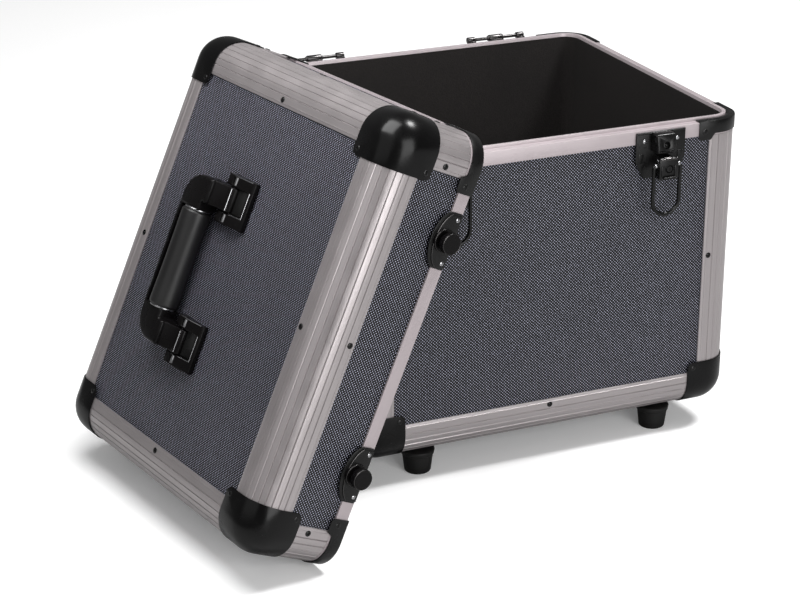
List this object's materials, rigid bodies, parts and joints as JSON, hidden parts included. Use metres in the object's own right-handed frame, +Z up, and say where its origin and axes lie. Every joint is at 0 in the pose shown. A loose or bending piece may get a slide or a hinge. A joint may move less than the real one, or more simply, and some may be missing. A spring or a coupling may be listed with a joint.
{
  "type": "record carrying case",
  "caption": "Upright hard case for vinyl records in edge profiles with ball corners, its lift-off lid with handle leaning against the open base.",
  "frame": {"origin": "middle of the footprint of the base and the leaning lid, on the floor", "axes": "+X along the base's long front edge, towards the side away from the lid; -Y is the latch side; +Z is up"},
  "size_m": [0.5704, 0.4548, 0.3642],
  "materials": {
    "aluminium": "satin anodised, fluted",
    "bright_aluminium": "bright satin",
    "panel": "diamond-embossed laminate on board",
    "lining": "dark matt foam-backed cloth",
    "black_steel": "black satin",
    "rubber": "black satin",
    "wire": "black plated wire"
  },
  "bodies": {
    "base": {"base_back_panel": "panel", "base_ball_corner_back_left": "black_steel", "base_ball_corner_back_right": "black_steel", "base_ball_corner_front_left": "black_steel", "base_ball_corner_front_right": "black_steel", "base_corner_profile_back_left": "aluminium", "base_corner_profile_back_right": "aluminium", "base_corner_profile_front_left": "aluminium", "base_corner_profile_front_right": "aluminium", "base_edge_profile_back": "aluminium", "base_edge_profile_front": "aluminium", "base_edge_profile_left": "aluminium", "base_edge_profile_right": "aluminium", "base_floor_panel": "panel", "base_front_panel": "panel", "base_hinge_left": "black_steel", "base_hinge_right": "black_steel", "base_left_panel": "panel", "base_lining": "lining", "base_right_panel": "panel", "base_rim": "bright_aluminium", "base_rim_bracket_back_left": "black_steel", "base_rim_bracket_back_right": "black_steel", "base_rim_bracket_front_left": "black_steel", "base_rim_bracket_front_right": "black_steel", "foot_back_left": "rubber", "foot_back_right": "rubber", "foot_front_left": "rubber", "foot_front_right": "rubber", "latch_plate_left": "black_steel", "latch_plate_right": "black_steel"},
    "lid": {"handle_bracket_left": "black_steel", "handle_bracket_right": "black_steel", "lid_back_panel": "panel", "lid_ball_corner_back_left": "black_steel", "lid_ball_corner_back_right": "black_steel", "lid_ball_corner_front_left": "black_steel", "lid_ball_corner_front_right": "black_steel", "lid_corner_profile_back_left": "aluminium", "lid_corner_profile_back_right": "aluminium", "lid_corner_profile_front_left": "aluminium", "lid_corner_profile_front_right": "aluminium", "lid_edge_profile_back": "aluminium", "lid_edge_profile_front": "aluminium", "lid_edge_profile_left": "aluminium", "lid_edge_profile_right": "aluminium", "lid_front_panel": "panel", "lid_left_panel": "panel", "lid_lining": "lining", "lid_right_panel": "panel", "lid_rim": "bright_aluminium", "lid_strike_left": "black_steel", "lid_strike_right": "black_steel", "lid_top_panel": "panel"},
    "handle": {"handle_frame": "black_steel", "handle_grip": "rubber"},
    "latch_lever_left": {"latch_lever_left": "black_steel"},
    "latch_lever_right": {"latch_lever_right": "black_steel"},
    "latch_bail_left": {"latch_bail_left": "wire"},
    "latch_bail_right": {"latch_bail_right": "wire"}
  },
  "joints": [
    {"name": "lid_lift", "type": "slide", "parent": "base", "child": "lid", "axis": [0, 0, 1], "range_m": [0, 0.25]},
    {"name": "handle_swing", "type": "hinge", "parent": "lid", "child": "handle", "pos_m": [-0.19773, -0.05282, 0.20769], "axis": [0.4149, 0.0806, 0.9063], "range_deg": [0, 95]},
    {"name": "latch_lever_left_swing", "type": "hinge", "parent": "base", "child": "latch_lever_left", "pos_m": [0.00194, -0.10802, 0.268], "axis": [-1, 0, 0], "range_deg": [0, 100]},
    {"name": "latch_bail_left_swing", "type": "hinge", "parent": "latch_lever_left", "child": "latch_bail_left", "pos_m": [0.00194, -0.10802, 0.2635], "axis": [-1, 0, 0], "range_deg": [0, 80]},
    {"name": "latch_lever_right_swing", "type": "hinge", "parent": "base", "child": "latch_lever_right", "pos_m": [0.19994, -0.10802, 0.268], "axis": [-1, 0, 0], "range_deg": [0, 100]},
    {"name": "latch_bail_right_swing", "type": "hinge", "parent": "latch_lever_right", "child": "latch_bail_right", "pos_m": [0.19994, -0.10802, 0.2635], "axis": [-1, 0, 0], "range_deg": [0, 80]}
  ]
}
